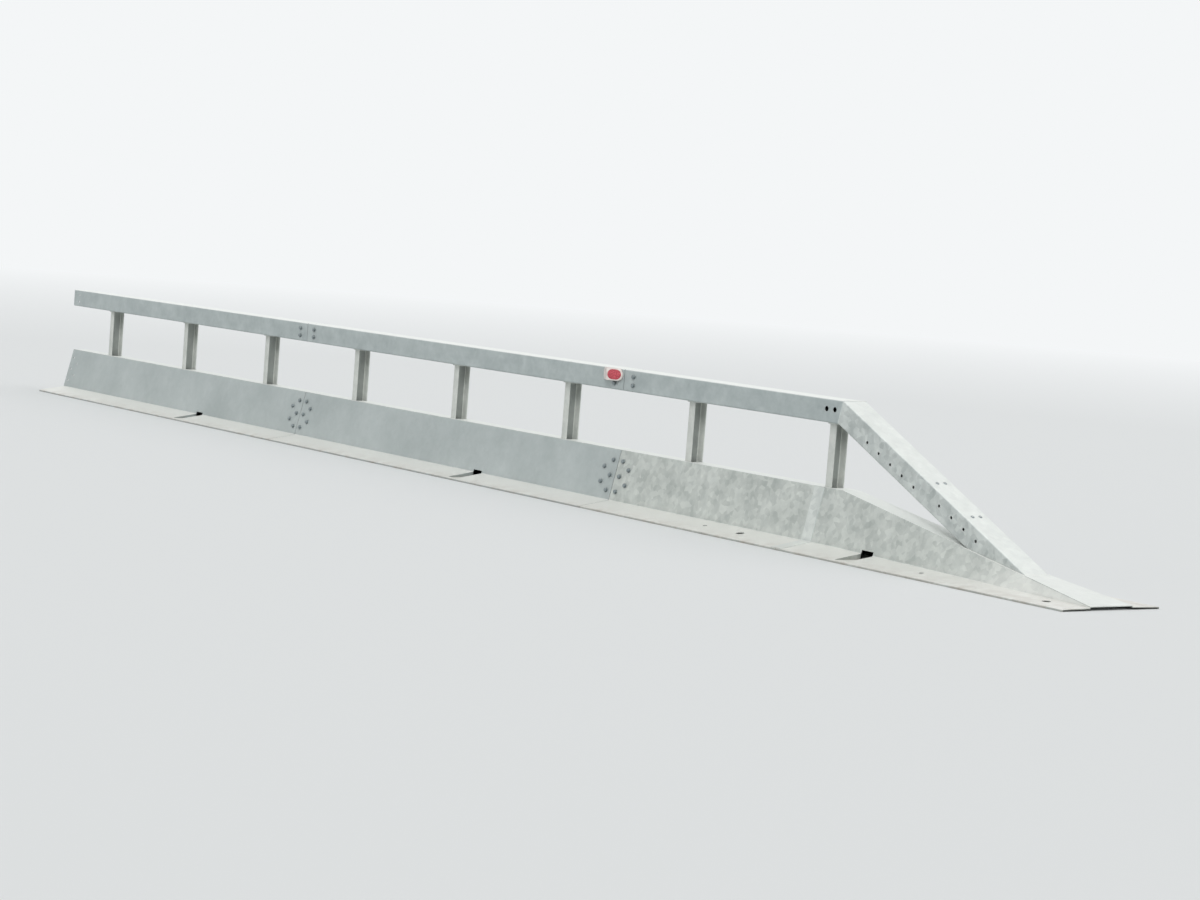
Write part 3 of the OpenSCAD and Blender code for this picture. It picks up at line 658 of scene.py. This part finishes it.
# The sky lights the part less brightly than it looks to the camera and in reflections
light = {"skyStrength": 0.44,
         "lamps": {"frontLamp": {"strength": 1.8, "spread": 24, "high": 42, "turn": 38},
                   "backLamp": {"strength": 0.6, "spread": 60, "high": 40, "turn": 145}}}
world = bpy.data.worlds.new("paleSky")
bpy.context.scene.world = world
world.use_nodes = True
tree = world.node_tree
tree.nodes.clear()
ray = addNode(tree, "LightPath")
seen = addNode(tree, "Math", {0: ray.outputs["Is Camera Ray"], 1: ray.outputs["Is Glossy Ray"]},
               operation="MAXIMUM")
seen = addNode(tree, "Math", {0: seen.outputs[0], 1: ray.outputs["Is Transmission Ray"]}, operation="MAXIMUM")
strength = addNode(tree, "MapRange", {"Value": seen.outputs[0], "To Min": light["skyStrength"],
                                      "To Max": 1.0})
sky = addNode(tree, "Background", {"Color": linear(stage["sky"]), "Strength": strength.outputs[0]})
addNode(tree, "OutputWorld", {"Surface": sky.outputs[0]})

for name, look in light["lamps"].items():
    lamp = bpy.data.objects.new(name, bpy.data.lights.new(name, "SUN"))
    lamp.data.energy = look["strength"]
    lamp.data.angle = math.radians(look["spread"])
    lamp.rotation_euler = (math.radians(90 - look["high"]), 0, math.radians(look["turn"]))
    bpy.context.scene.collection.objects.link(lamp)

# The camera stands off the nose, on the reflector's side; distances from the tip in metres, angles in
# degrees
shot = {"fromTip": (9.846, -10.848, 1.796), "yaw": 36.97, "pitch": 4.61, "tilt": 4.435, "lens": 82.66,
        "sensor": 36}
yaw, pitch, tilt = (math.radians(shot[key]) for key in ("yaw", "pitch", "tilt"))
forward = Vector((-math.cos(yaw) * math.cos(pitch), math.sin(yaw) * math.cos(pitch), -math.sin(pitch)))
levelRight = forward.cross(Vector((0, 0, 1))).normalized()
levelUp = levelRight.cross(forward)
right = levelRight * math.cos(tilt) + levelUp * math.sin(tilt)
up = right.cross(forward)
camera = bpy.data.objects.new("photoCamera", bpy.data.cameras.new("photoCamera"))
camera.data.lens = shot["lens"]
camera.data.sensor_width = shot["sensor"]
turn = Matrix((right, up, -forward)).transposed().to_4x4()
camera.matrix_world = Matrix.Translation(Vector((cadHigh.x, 0, 0)) + Vector(shot["fromTip"])) @ turn
bpy.context.scene.collection.objects.link(camera)
bpy.context.scene.camera = camera
bpy.context.scene.view_settings.view_transform = "Standard"
print("stage, light and camera set")
